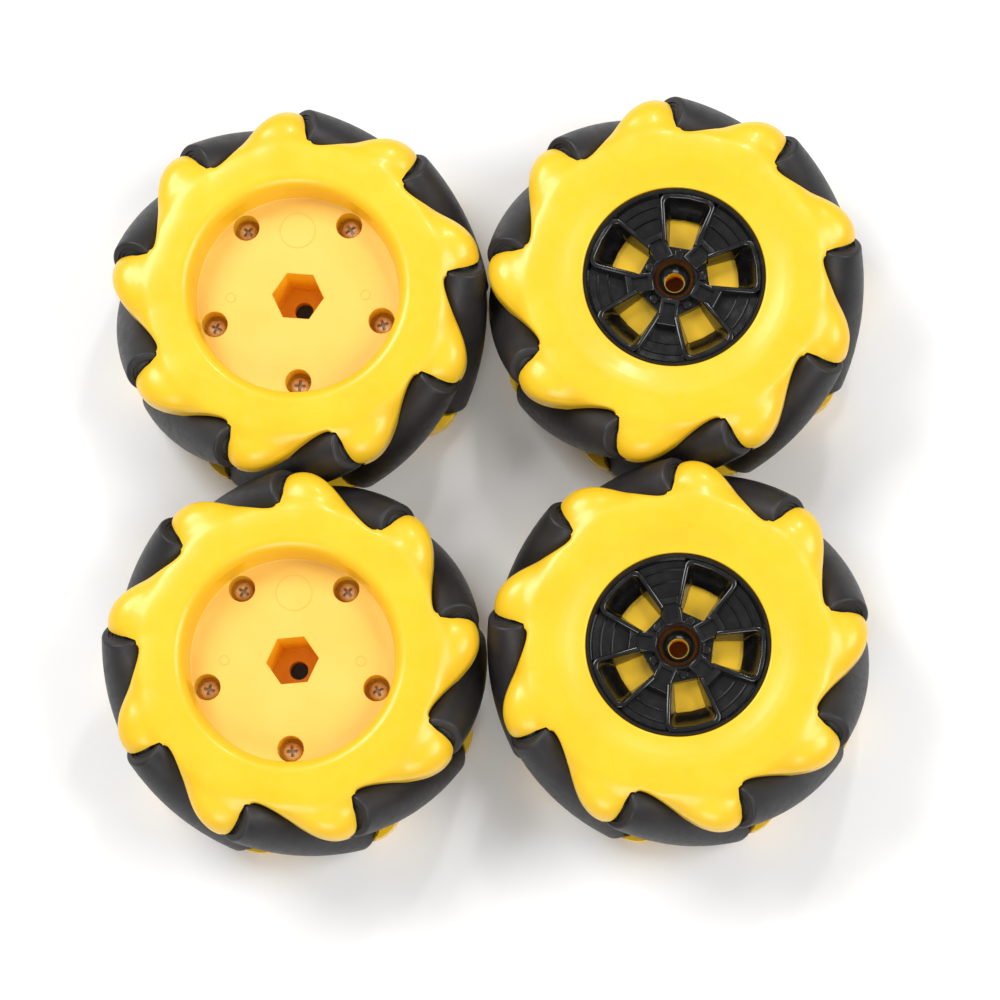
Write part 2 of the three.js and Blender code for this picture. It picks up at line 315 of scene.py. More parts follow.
def core_bush():
    """The stiff core inside the rubber, with a small collar round the axle at each end."""
    end = ROLLER_HALF - 0.55
    upper = [
        (CORE_RADIUS - 0.04, end - 0.1),
        (CORE_RADIUS - 0.3, end),
        (2.2, end),
        (2.05, end + 0.75),
        (PIN_RADIUS + 0.2, end + 0.8),
        (PIN_RADIUS + 0.08, end + 0.7),
    ]
    lower = [(r, -z) for r, z in reversed(upper)]
    return turned("core", lower + upper, 40, closed=True)


def pin():
    """The steel axle, with a chamfer at each end."""
    end = PIN_HALF
    profile = [(0.9, -end), (PIN_RADIUS, 0.35 - end), (PIN_RADIUS, end - 0.35), (0.9, end)]
    return turned("pin", profile, 24)


def roller_room():
    """What is cut from a plate for the upper half of a roller and its pin."""
    end = ROLLER_HALF + ROLLER_CLEARANCE
    body = [p for p in barrel(ROLLER_CLEARANCE) if p[1] > 0]
    profile = [(ROLLER_RADIUS + ROLLER_CLEARANCE, -2.0)] + body
    profile += [(body[-1][0], end - 0.6), (body[-1][0] - 0.6, end)]
    profile += [(PIN_RADIUS + 0.03, end), (PIN_RADIUS + 0.03, PIN_HALF + 0.05)]
    return turned("room", profile, 48)


def at_roller(k):
    """From a shape that stands on the Z axis to the place of roller k."""
    lean = Matrix.Translation((AXLE_CIRCLE, 0, 0)) @ Matrix.Rotation(-SKEW, 4, "X")
    return Matrix.Rotation(math.radians(k * PITCH), 4, "Z") @ lean


# --- Plates ---

# One lobe from notch to notch, leaning over its steep side: (degrees from the notch, radius).
LOBE = (
    (0.3, 39.2),
    (2.2, 39.45),
    (3.2, 40.7),
    (3.75, 43.3),
    (4.7, 46.0),
    (6.7, 48.1),
    (9.5, 49.05),
    (12.8, 49.15),
    (16.2, 48.5),
    (20.2, 46.9),
    (24.8, 44.4),
    (29.3, 42.1),
    (33.8, 40.4),
    (37.7, 39.45),
)
# The raised blister over a roller's end: an ellipsoid that leans with the lobe.
BLISTER_AT = (40.5, 15.2)  # radius, and degrees from the notch
BLISTER_LEAN = -11.0
BLISTER_OUT = 11.0  # half length towards the tip
BLISTER_IN = 13.0  # half length towards the crown
BLISTER_WIDE = 10.6
BLISTER_BASE = 13.5
BLISTER_RISE = 6.7
BLISTER_SKIRT = 6.0  # how steeply the surface falls away outside the ellipse
BLISTER_BLEND = 2.4  # over how much height it merges with the crown
# Where the crown starts to fall away and how fast, gently at first and then steeply.
CROWN_GENTLE, CROWN_GENTLE_FALL = 34.0, 0.02
CROWN_STEEP, CROWN_STEEP_FALL = 38.5, 0.12
# How the top rolls over at the outline: least within the first radius, most beyond the second. Depth and
# width are given as (in a notch, how much more at a lobe's tip).
ROLL_REACH = (40.0, 47.0)
ROLL_DEPTH = (0.55, 1.75)
ROLL_WIDTH = (1.2, 2.7)
LIP = 0.6  # from the lowest point of the rolled edge down to the lobes' upright wall

# The plain rings on the inner floor, left by the mould's ejector pins: (radius, place).
MARKS = ((1.25, (0.0, 17.9)), (1.25, (0.0, -17.9)), (4.7, (17.9, 0.0)))


def smooth_path(points, steps):
    """A smooth curve through points, as a Hermite spline. Its two end points only steer it."""
    points = np.asarray(points, float)
    gaps = np.sqrt(np.linalg.norm(np.diff(points, axis=0), axis=1))
    at = np.concatenate([[0], np.cumsum(gaps)])
    slopes = (points[2:] - points[:-2]) / (at[2:] - at[:-2])[:, None]
    path = []
    for i in range(1, len(points) - 2):
        span = at[i + 1] - at[i]
        t = np.linspace(0, 1, steps, endpoint=False)[:, None]
        start, end = points[i], points[i + 1]
        leave, arrive = slopes[i - 1] * span, slopes[i] * span
        path.append(
            (2 * t**3 - 3 * t**2 + 1) * start
            + (t**3 - 2 * t**2 + t) * leave
            + (3 * t**2 - 2 * t**3) * end
            + (t**3 - t**2) * arrive
        )
    return np.concatenate(path)


def polar(radius, degrees):
    """The flat point at a radius and an angle."""
    angle = math.radians(degrees)
    return np.array([radius * math.cos(angle), radius * math.sin(angle)])


def turn_flat(points, degrees):
    """Flat points, turned about the origin."""
    c, s = math.cos(math.radians(degrees)), math.sin(math.radians(degrees))
    x, y = points[:, 0], points[:, 1]
    return np.stack([x * c - y * s, x * s + y * c], 1)


def lobe_edge():
    """The outline of one lobe as equally spaced points, with the notch at angle 0."""
    around = [(r, a + PITCH * turn) for turn in (-1, 0, 1) for a, r in LOBE]
    first = len(LOBE) - 1
    knots = [polar(r, a) for r, a in around[first : first + len(LOBE) + 3]]
    path = np.vstack([smooth_path(knots, 40), knots[-2]])
    run = np.concatenate([[0], np.cumsum(np.linalg.norm(np.diff(path, axis=0), axis=1))])
    wanted = np.linspace(0, run[-1], LOBE_COLUMNS, endpoint=False)
    return np.stack([np.interp(wanted, run, path[:, axis]) for axis in (0, 1)], 1)


def smooth_step(value, low, high):
    """From 0 at low to 1 at high, with no kink."""
    t = np.clip((value - low) / (high - low), 0, 1)
    return t * t * (3 - 2 * t)


def crown_height(radius):
    """The crown is flat, then falls away faster and faster."""
    gentle = CROWN_GENTLE_FALL * np.maximum(radius - CROWN_GENTLE, 0) ** 2
    steep = CROWN_STEEP_FALL * np.maximum(radius - CROWN_STEEP, 0) ** 2
    return HALF_WIDTH - gentle - steep


def blister_height(points):
    """The height of one lobe's blister over flat points, with the notch at angle 0."""
    centre = polar(*BLISTER_AT)
    local = turn_flat(points - centre, -BLISTER_LEAN)
    length = np.where(local[:, 0] > 0, BLISTER_OUT, BLISTER_IN)
    share = (local[:, 0] / length) ** 2 + (local[:, 1] / BLISTER_WIDE) ** 2
    dome = BLISTER_RISE * np.sqrt(np.maximum(1 - share, 0))
    return BLISTER_BASE + dome - BLISTER_SKIRT * np.maximum(share - 1, 0)


def smooth_max(a, b, blend):
    """The larger of two heights, with the crease between them filled in."""
    mix = np.maximum(1 - np.abs(a - b) / blend, 0)
    return np.maximum(a, b) + blend * mix * mix / 4


def edge_rounding(points, edges):
    """How far the surface has rolled over near the outline, more so at a lobe's tip than in a notch."""
    apart = np.linalg.norm(points[:, None, :] - edges[None, :, :], axis=2)
    nearest = apart.argmin(1)
    reach = smooth_step(np.linalg.norm(edges[nearest], axis=1), *ROLL_REACH)
    depth = ROLL_DEPTH[0] + ROLL_DEPTH[1] * reach
    width = ROLL_WIDTH[0] + ROLL_WIDTH[1] * reach
    away = 1 - np.minimum(apart.min(1) / width, 1)
    return depth * (1 - np.sqrt(1 - away**2))


def dome_rows():
    """The top of the lobed ring over one pitch, from the crown out to the outline, notch at angle 0."""
    edge = lobe_edge()
    near = np.concatenate([turn_flat(edge, turn * PITCH) for turn in (-1, 0, 1)])
    inner = np.array([polar(CROWN + 1, i * PITCH / LOBE_COLUMNS) for i in range(LOBE_COLUMNS)])
    rows = []
    for share in 1 - (1 - np.linspace(0, 1, DOME_ROWS)) ** DOME_CROWDING:
        flat = inner + (edge - inner) * share
        blisters = [blister_height(turn_flat(flat, turn * PITCH)) for turn in (-1, 0, 1)]
        crown = crown_height(np.linalg.norm(flat, axis=1))
        height = smooth_max(crown, np.max(blisters, axis=0), BLISTER_BLEND)
        rows.append(np.column_stack([flat, height - edge_rounding(flat, near)]))
    return rows


def all_round(row):
    """One pitch's points, repeated round the wheel and turned to where the notches are."""
    turns = [turn_flat(row[:, :2], NOTCH_PHASE + k * PITCH) for k in range(ROLLERS)]
    return np.column_stack([np.concatenate(turns), np.tile(row[:, 2], ROLLERS)])


def at_height(row, height):
    """A row's outline, laid flat."""
    return np.column_stack([row[:, :2], np.full(len(row), height)])


def plate_circle(radius, height):
    """A circle whose points line up with the lobes' columns."""
    return circle(radius, height, ROLLERS * LOBE_COLUMNS, NOTCH_PHASE)


def lobed_shell(name, foot, mouth):
    """A plate's closed skin, with lobes round its outside.

    foot leads out under the floor to the drum, and mouth leads in from the crown over the floor.
    """
    dome = [all_round(row) for row in dome_rows()]
    edge = dome[-1]
    lip = edge[:, 2].min() - LIP
    walls = [at_height(edge, z) for z in (LOBE_UNDERSIDE, (LOBE_UNDERSIDE + lip) / 2, lip)]
    walls.append(np.column_stack([edge[:, :2], lip * 0.5 + edge[:, 2] * 0.5]))
    foot_rings = [plate_circle(r, z) for r, z in foot]
    drum = [
        (DRUM_INNER, JOINT_GAP),
        (DRUM_INNER + 0.4, JOINT_GAP + 0.02),
        (DRUM_OUTER, JOINT_GAP + 0.02),
        (DRUM_OUTER, LOBE_UNDERSIDE),
    ]
    drum_rings = [plate_circle(r, z) for r, z in drum]
    mouth_rings = [plate_circle(r, z) for r, z in mouth]
    rings = foot_rings + drum_rings + walls + list(reversed(dome)) + mouth_rings
    return skin(name, rings, closed=True)


def hexagon(flats):
    """The corners of a hexagon, turned as the socket is."""
    corner = flats / 2 / math.cos(math.pi / 6)
    return [tuple(polar(corner, HEX_PHASE + 60 * i)) for i in range(6)]


def hex_socket(bottom, top):
    """The socket's room, with a small chamfer at its mouth."""
    chamfer = 0.12
    mouth = (HEX_FLATS + 4 * chamfer, top + chamfer)
    levels = [(HEX_FLATS, bottom), (HEX_FLATS, top - chamfer), mouth]
    rings = [[(x, y, z) for x, y in hexagon(flats)] for flats, z in levels]
    return skin("socket_room", rings)


def floor_marks():
    """The plain rings, turned so that the large one lies midway between two screws."""
    square = Matrix.Rotation(math.radians(SCREW_PHASE - 180 / SCREWS), 4, "Z")
    made = []
    for radius, place in MARKS:
        foot = [(radius - 0.22, -0.3), (radius + 0.22, -0.3)]
        ridge = [(radius + 0.1, 0.16), (radius - 0.1, 0.16)]
        mark = turned("mark", foot + ridge, 40, closed=True)
        moved(mark, Matrix.Translation((*place, RECESS_FLOOR)))
        made.append(moved(mark, square))
    return made


def at_screws(shape, phase):
    """Copies of a shape, which stands on the Z axis and is removed, at the screws' places."""
    return spun(moved(shape, Matrix.Translation((SCREW_CIRCLE, 0, 0))), SCREWS, phase)


def screw_boss(top):
    """A post round a screw, from the joint between the plates up to a plate's floor."""
    return turned("boss", [(BOSS_RADIUS, JOINT_GAP), (BOSS_RADIUS, top)], 40)


def hub_plate():
    """The inner plate: a dished floor with the hexagonal socket and the sunk screws."""
    floor_bottom = RECESS_FLOOR - FLOOR_THICKNESS
    socket_bottom = RECESS_FLOOR - HEX_DEPTH
    hole = THROUGH_HOLE + 0.02
    mouth = [(CROWN, HALF_WIDTH)]
    mouth += arc((RECESS_RADIUS + 4.0, HALF_WIDTH - 3.3), 3.3, 84, 174, 9)
    mouth += arc((RECESS_RADIUS - 0.4, RECESS_FLOOR + 0.5), 0.5, -4, -90, 4)
    mouth += [(18.0, RECESS_FLOOR), (hole, RECESS_FLOOR)]
    plate = lobed_shell("hub_plate", [(hole, floor_bottom), (DRUM_INNER, floor_bottom)], mouth)

    wall_outline = hexagon(HEX_FLATS + 2 * HEX_WALL)
    socket_wall = prism("wall", wall_outline, socket_bottom - HEX_WALL, RECESS_FLOOR - 1)
    bosses = at_screws(screw_boss(RECESS_FLOOR - 1), SCREW_PHASE)
    boolean(plate, merged("added", [socket_wall] + bosses + floor_marks()), "UNION")

    pocket_shape = [
        (SHANK_HOLE, -2.0),
        (SHANK_HOLE, POCKET_SEAT),
        (POCKET_RADIUS, POCKET_SEAT),
        (POCKET_RADIUS, RECESS_FLOOR - 0.15),
        (POCKET_RADIUS + 0.2, RECESS_FLOOR + 0.1),
        (POCKET_RADIUS + 0.2, HALF_WIDTH),
    ]
    pockets = at_screws(turned("pocket", pocket_shape, 48), SCREW_PHASE)
    bore_shape = [(THROUGH_HOLE, socket_bottom - HEX_WALL - 1), (THROUGH_HOLE, socket_bottom + 1)]
    boolean(plate, turned("bore", bore_shape, 48), "DIFFERENCE")
    cuts = [hex_socket(socket_bottom, RECESS_FLOOR)] + pockets
    boolean(plate, merged("cuts", cuts), "DIFFERENCE")
    return with_roller_rooms(plate)


def rim_plate():
    """The outer plate: a rim that slopes in to the hub cap, and a web behind the cap.

    It is made facing up like the inner one, so its bosses run the other way round.
    """
    web_bottom = WEB_TOP - WEB_THICKNESS
    web_edge = WEB_TOP - 0.9  # underside of the web where it thins out
    mouth = [(CROWN, HALF_WIDTH), (32.2, HALF_WIDTH - 0.02), (31.4, HALF_WIDTH - 0.10)]
    mouth += [(30.6, HALF_WIDTH - 0.26), (29.6, HALF_WIDTH - 0.44), (29.0, HALF_WIDTH - 0.58)]
    mouth += [(28.4, HALF_WIDTH - 0.74), (26.8, 19.85), (25.6, 19.6), (24.9, 19.5)]
    mouth += arc((CAP_OPENING + 0.5, 18.95), 0.5, 90, 180, 4)
    mouth += [(CAP_OPENING, WEB_TOP), (WEB_HOLE, WEB_TOP), (WEB_EYE, WEB_TOP)]
    foot = [(WEB_EYE, web_edge), (WEB_HOLE, web_edge)]
    foot += [(WEB_HOLE, web_bottom), (DRUM_INNER, web_bottom)]
    plate = lobed_shell("rim_plate", foot, mouth)

    bosses = at_screws(screw_boss(WEB_TOP - 1), -SCREW_PHASE)
    boolean(plate, merged("bosses", bosses), "UNION")
    pilot = turned("pilot", [(SCREW_SHANK + 0.1, -1.0), (SCREW_SHANK + 0.1, 8.0)], 24)
    boolean(plate, merged("pilots", at_screws(pilot, -SCREW_PHASE)), "DIFFERENCE")
    return with_roller_rooms(plate)


def with_roller_rooms(plate):
    """The plate, with room cut in it for every roller."""
    room = roller_room()
    rooms = [copied(room, at_roller(k)) for k in range(ROLLERS)]
    removed(room)
    return boolean(plate, merged("rooms", rooms), "DIFFERENCE")


# --- Hub cap ---


def rounded_wedge(inner, outer, inner_half, outer_half, corner, bow):
    """A wedge across the X axis whose outer corners are rounded and whose outer end bows out."""
    slope = (outer_half - inner_half) / (outer - inner)
    points = [(inner, -inner_half)]
    side = math.degrees(math.atan(slope))
    centre = (outer - corner, -(outer_half - corner))
    points += arc(centre, corner, -90 - side * 0.5, -8, 6)
    points += [(outer + bow, 0.0)]
    upper = [(x, -y) for x, y in reversed(points[1:-1])]
    return points + upper + [(inner, inner_half)]


def window_funnel():
    """The room of a window, which narrows from the raised bars down to the opening in the floor."""
    middle = rounded_wedge(8.8, 18.8, 3.2, 4.9, 1.2, 0.3)
    bottom = rounded_wedge(9.0, 16.6, 3.0, 3.9, 0.5, 0.25)
    levels = [(bottom, CAP_BASE - 1), (bottom, CAP_BASE + 1.0), (middle, 15.4)]
    lip_rounding = ((0.0, 0.7), (0.1, 0.3), (0.3, 0.08), (0.55, 0.0), (0.75, -0.3))
    for grow, drop in lip_rounding:
        lip = rounded_wedge(8.7 - grow, 20.9 + grow, 3.3 + grow, 5.8 + grow, 1.5 + grow, 0.4)
        levels.append((lip, FRAME_TOP - drop))
    return skin("funnel", [[(x, y, z) for x, y in outline] for outline, z in levels])


def cap_dish():
    """The cap's turned body: rim, stepped dish, hub ring and the deep cup in the hub."""
    profile = [(CAP_BORE, CAP_BASE - 0.2), (6.8, CAP_BASE - 0.2), (7.2, CAP_BASE)]
    profile += [(CAP_RADIUS - 0.2, CAP_BASE)]
    profile += [(CAP_RADIUS, CAP_BASE + 0.2), (CAP_RADIUS, CAP_RIM_TOP - 0.35)]
    profile += [(CAP_RADIUS - 0.3, CAP_RIM_TOP), (CAP_RADIUS - 0.75, CAP_RIM_TOP)]
    profile += [(CAP_RADIUS - 1.1, CAP_RIM_TOP - 0.4), (22.45, 16.6), (22.2, 16.3)]
    profile += [(20.65, 16.1), (20.5, 16.35), (20.15, 16.35), (19.95, 15.6)]
    profile += [(17.65, 15.4), (17.5, 15.65), (17.2, 15.65), (17.0, 14.9)]
    profile += [(12.5, 14.5), (8.2, 14.3), (7.0, 14.3), (6.35, 16.5), (6.1, 16.75)]
    profile += [(5.55, 16.75), (5.3, 16.5), (4.9, 14.6), (3.7, 12.6), (CAP_BORE + 0.1, 12.1)]
    return turned("cap", profile, 120, closed=True)


def hub_cap():
    """The cap: a dish with five windows framed by raised bars, and blocks between them at the hub."""
    bar_outline = rounded_wedge(9.4, 22.7, 4.95, 7.4, 2.7, 0.3)
    bars = prism("bars", bar_outline, 12.2, FRAME_TOP, 0.6)
    cap = boolean(cap_dish(), merged("frames", spun(bars, WINDOWS)), "UNION")
    between = 180 / WINDOWS  # degrees from a window to the middle of the next gap

    block_outline = [(5.6, -2.5), (11.6, -2.5), (12.9, -3.1), (12.9, 3.1), (11.6, 2.5), (5.6, 2.5)]
    block = prism("block", block_outline, 12.2, 17.7, 0.35)
    boolean(cap, merged("blocks", spun(block, WINDOWS, between)), "UNION")
    panel = prism("panel", [(6.9, -1.5), (11.2, -1.5), (11.2, 1.5), (6.9, 1.5)], 16.5, 18.4)
    boolean(cap, merged("panels", spun(panel, WINDOWS, between)), "DIFFERENCE")

    boolean(cap, merged("funnels", spun(window_funnel(), WINDOWS)), "DIFFERENCE")
    lug_outline = [(6.2, -1.0), (7.9, -1.25), (8.5, 0.0), (7.9, 1.25), (6.2, 1.0)]
    lug = prism("lug", lug_outline, 12.0, 15.4, 0.25)
    return boolean(cap, merged("lugs", spun(lug, WINDOWS)), "UNION")


# --- Screws ---


def screw():
    """A pan head screw with a cross recess; its head sits on z = 0."""
    tip = -SCREW_LENGTH
    profile = [(0.25, tip), (SCREW_SHANK, tip + 1.6)]
    for i in range(int((SCREW_LENGTH - 2.6) / THREAD_PITCH)):
        z = tip + 1.6 + i * THREAD_PITCH
        profile += [(SCREW_SHANK - 0.28, z + 0.3), (SCREW_SHANK, z + 0.65)]
    profile += [(SCREW_SHANK - 0.1, 0.0), (SCREW_HEAD - 0.12, 0.0), (SCREW_HEAD, 0.15)]
    profile += arc((SCREW_HEAD - 1.5, 0.75), 1.5, 0, 82, 7)
    profile += [(0.9, SCREW_HEAD_HEIGHT), (0.15, SCREW_HEAD_HEIGHT + 0.03)]
    body = turned("screw", profile, 40)
    wing = [(-1.8, -0.42), (1.8, -0.42), (1.8, 0.42), (-1.8, 0.42)]
    point = [(x * 0.5, y * 0.75) for x, y in wing]
    levels = [(point, 0.4), (wing, SCREW_HEAD_HEIGHT + 0.5)]
    slot = skin("slot", [[(x, y, z) for x, y in outline] for outline, z in levels])
    crossing = copied(slot, Matrix.Rotation(math.pi / 2, 4, "Z"))
    boolean(body, slot, "DIFFERENCE")
    return boolean(body, crossing, "DIFFERENCE")


def screw_set():
    """The five screws, each turned a different way, as they were driven home."""
    one = screw()
    made = []
    for i in range(SCREWS):
        place = Matrix.Rotation(math.radians(SCREW_PHASE + i * 360 / SCREWS), 4, "Z")
        seat = Matrix.Translation((SCREW_CIRCLE, 0, POCKET_SEAT + 0.05))
        made.append(copied(one, place @ seat @ Matrix.Rotation(math.radians(37 * i + 11), 4, "Z")))
    removed(one)
    return merged("screws", made)


def pin_set():
    """The nine axles."""
    one = pin()
    made = [copied(one, at_roller(k)) for k in range(ROLLERS)]
    removed(one)
    return merged("pins", made)


# --- Materials ---


def material(name, color, roughness, **sockets):
    """A new material, its node tree and its shader. Further sockets are given by name."""
    made = bpy.data.materials.new(name)
    made.use_nodes = True
    shader = made.node_tree.nodes["Principled BSDF"]
    shader.inputs["Base Color"].default_value = (*color, 1)
    shader.inputs["Roughness"].default_value = roughness
    for socket, value in sockets.items():
        shader.inputs[socket.replace("_", " ")].default_value = value
    return made, made.node_tree, shader


def noise(tree, scale, detail=4.0, roughness=0.5):
    """Noise over the piece's own space in millimetres. Its scale is in waves per millimetre."""
    where = tree.nodes.new("ShaderNodeTexCoord")
    size = tree.nodes.new("ShaderNodeVectorMath")
    size.operation = "SCALE"
    size.inputs["Scale"].default_value = 1 / MM
    texture = tree.nodes.new("ShaderNodeTexNoise")
    texture.inputs["Scale"].default_value = scale
    texture.inputs["Detail"].default_value = detail
    texture.inputs["Roughness"].default_value = roughness
    tree.links.new(where.outputs["Object"], size.inputs[0])
    tree.links.new(size.outputs["Vector"], texture.inputs["Vector"])
    return texture.outputs["Fac"]


def ranged(tree, value, low, high):
    """A noise, stretched from the band that it mostly keeps to, to low..high."""
    step = tree.nodes.new("ShaderNodeMapRange")
    step.inputs["From Min"].default_value = 0.3
    step.inputs["From Max"].default_value = 0.7
    step.inputs["To Min"].default_value = low
    step.inputs["To Max"].default_value = high
    tree.links.new(value, step.inputs["Value"])
    return step.outputs["Result"]


def tinted(tree, shader, value, low, high):
    """Base colour that drifts between two tints with the value."""
    mix = tree.nodes.new("ShaderNodeMix")
    mix.data_type = "RGBA"
    mix.inputs["A"].default_value = (*low, 1)
    mix.inputs["B"].default_value = (*high, 1)
    tree.links.new(value, mix.inputs["Factor"])
    tree.links.new(mix.outputs["Result"], shader.inputs["Base Color"])


def bumped(tree, shader, value, depth):
    """Relief of that depth in millimetres."""
    bump = tree.nodes.new("ShaderNodeBump")
    bump.inputs["Strength"].default_value = 1.0
    bump.inputs["Distance"].default_value = depth * MM
    tree.links.new(value, bump.inputs["Height"])
    tree.links.new(bump.outputs["Normal"], shader.inputs["Normal"])


def surface(name, base, roughness, tints, gloss, relief, **sockets):
    """A material whose colour, roughness and relief each drift with a noise of their own.

    tints is (what noise takes, one tint, the other), gloss is (what noise takes, least roughness,
    most) and relief is (what noise takes, depth in millimetres).
    """
    made, tree, shader = material(name, base, roughness, **sockets)
    tint_noise, low_tint, high_tint = tints
    tinted(tree, shader, ranged(tree, noise(tree, *tint_noise), 0, 1), low_tint, high_tint)
    gloss_noise, least, most = gloss
    tree.links.new(ranged(tree, noise(tree, *gloss_noise), least, most), shader.inputs["Roughness"])
    relief_noise, depth = relief
    bumped(tree, shader, noise(tree, *relief_noise), depth)
    return made


def yellow_plastic():
    """Glossy moulded ABS: a faint flow ripple, slightly uneven gloss and a slow drift of colour."""
    return surface(
        "yellow_plastic",
        (0.93, 0.58, 0.016),
        0.33,
        ((0.05, 2), (0.92, 0.54, 0.012), (0.94, 0.59, 0.020)),
        ((0.35, 5), 0.28, 0.4),
        ((0.16, 3, 0.55), 0.04),
        Coat_Weight=0.15,
        Coat_Roughness=0.12,
    )


def sheen_painted_yellow_plastic():
    """The recess floor: less glossy, as from a finely blasted part of the mould, and with a paler tint
    that is painted sheen, standing in for the white light such a surface scatters.
    """
    return surface(
        "sheen_painted_yellow_plastic",
        # painted sheen: these pale, whitened tints stand in for white light scattered off the floor
        (0.93, 0.62, 0.105),
        0.42,
        ((0.06, 2), (0.92, 0.54, 0.085), (0.94, 0.58, 0.11)),
        ((1.5, 5), 0.36, 0.5),
        ((7.0, 4, 0.6), 0.012),
    )


def glow_painted_yellow_plastic():
    """The socket's walls, with painted glow: a faint orange emission and a more orange tint stand in for
    light that comes through the plastic.
    """
    return surface(
        "glow_painted_yellow_plastic",
        (0.93, 0.55, 0.012),
        0.38,
        # painted glow: the more orange tints here, and the orange emission below, light the socket walls
        # though they are no lamp
        ((0.3, 3), (0.92, 0.50, 0.010), (0.95, 0.58, 0.016)),
        ((1.0, 4), 0.3, 0.44),
        ((1.2, 3, 0.5), 0.02),
        Emission_Color=(1.0, 0.26, 0.0, 1),
        Emission_Strength=0.05,
    )


def roller_rubber():
    """Matte moulded rubber: fine grain, with a soft dusty sheen that varies over the barrel."""
    return surface(
        "roller_rubber",
        (0.018, 0.017, 0.018),
        0.5,
        ((0.12, 4), (0.013, 0.012, 0.013), (0.024, 0.022, 0.023)),
        ((0.5, 6, 0.7), 0.36, 0.56),
        ((5.0, 5, 0.7), 0.03),
        Specular_IOR_Level=0.45,
    )


def black_plastic():
    """Polished black moulding with faint ripples and the odd hazy patch."""
    return surface(
        "black_plastic",
        (0.007, 0.007, 0.008),
        0.2,
        ((0.2, 3), (0.003, 0.003, 0.0035), (0.006, 0.006, 0.0065)),
        ((0.4, 5), 0.14, 0.3),
        ((0.45, 3, 0.5), 0.04),
        Coat_Weight=0.3,
        Coat_Roughness=0.08,
    )


def dull_black_plastic():
    """The rollers' cores: glass-filled nylon with a dry surface."""
    return surface(
        "dull_black_plastic",
        (0.02, 0.02, 0.021),
        0.5,
        ((2.0, 4), (0.014, 0.014, 0.015), (0.03, 0.03, 0.031)),
        ((3.0, 4), 0.4, 0.6),
        ((4.0, 4), 0.02),
    )


def brassy_screw():
    """Coppery passivated steel, duller and darker in patches."""
    return surface(
        "brassy_screw",
        (0.9, 0.7, 0.5),
        0.35,
        ((1.2, 5), (0.74, 0.54, 0.36), (0.98, 0.84, 0.66)),
        ((2.5, 5), 0.36, 0.5),
        ((6.0, 4), 0.02),
        Metallic=0.6,
    )


def axle_steel():
    """Drawn steel pin with fine scratches."""
    return surface(
        "axle_steel",
        (0.5, 0.5, 0.51),
        0.3,
        ((1.5, 5), (0.4, 0.4, 0.41), (0.58, 0.58, 0.59)),
        ((3.0, 6), 0.2, 0.42),
        ((5.0, 4), 0.01),
        Metallic=1.0,
    )


def studio_floor():
    """Plain pale card."""
    made, tree, shader = material("studio_floor", (0.94, 0.94, 0.94), 0.6)
    drift = ranged(tree, noise(tree, 0.01, 2), 0, 1)
    tinted(tree, shader, drift, (0.93, 0.93, 0.93), (0.95, 0.95, 0.95))
    return made


# --- Placing ---


def wheel_place(frame, wheel):
    """The matrix that takes a shape in millimetres to a wheel's place.

    The wheel's centre, turn and hand are read from its rollers' hinges, and which side is up from
    its plates.
    """
    hinges = [j for j in frame["joints"] if j["parent"] == wheel and j["type"] == "hinge"]
    centre = sum((Vector(j["pos_m"]) for j in hinges), Vector()) / len(hinges)
    first = Vector(hinges[0]["pos_m"]) - centre
    hand = 1 if first.cross(Vector(hinges[0]["axis"])).z > 0 else -1
    outer_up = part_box(f"{wheel}_hub_plate")[1].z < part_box(f"{wheel}_rim_plate")[1].z
    place = Matrix.Translation(centre) @ Matrix.Rotation(math.atan2(first.y, first.x), 4, "Z")
    if outer_up:
        place = place @ Matrix.Rotation(math.pi, 4, "X")
    return place @ Matrix.Diagonal((MM, MM * hand, MM, 1))


def finished(shape, name, matrix, body, look, nodes=()):
    """A copy of a shape as a piece of the object, in its place, on its body and in its material."""
    piece = copied(shape, matrix)
    piece.name = name
    piece.data.name = name
    if matrix.determinant() < 0:
        piece.data.flip_normals()
    piece.data.shade_smooth()
    piece.data.set_sharp_from_angle(angle=SHARP_ANGLE)
    piece.data.materials.clear()
    piece.data.materials.append(look)
    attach(piece, body)
    if nodes:
        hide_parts(*nodes)
    return piece


def recess_zones(shape):
    """The inner plate's faces that need another material than the first, the recess floor for its
    painted sheen and the socket for its painted glow: material index to faces.
    """
    floor, socket = [], []
    for face in shape.data.polygons:
        middle = face.center
        sunk = middle.z < RECESS_FLOOR - 0.14
        # upward faces of the recess floor, which take the painted sheen
        if face.normal.z > 0.3 and abs(middle.z - RECESS_FLOOR) < 0.25:
            floor.append(face.index)
        # the socket's walls below the floor, which take the painted glow
        elif sunk and math.hypot(middle.x, middle.y) < HEX_FLATS * 0.6:
            socket.append(face.index)
    return {1: floor, 2: socket}


def painted(plate, zones, looks):
    """Gives the inner plate's recess floor its painted sheen and the socket its painted glow, as
    materials of their own.
    """
    plate.data.materials.append(looks["satin_painted_sheen"])
    plate.data.materials.append(looks["sunk"])
    for index, faces in zones.items():
        for face in faces:
            plate.data.polygons[face].material_index = index


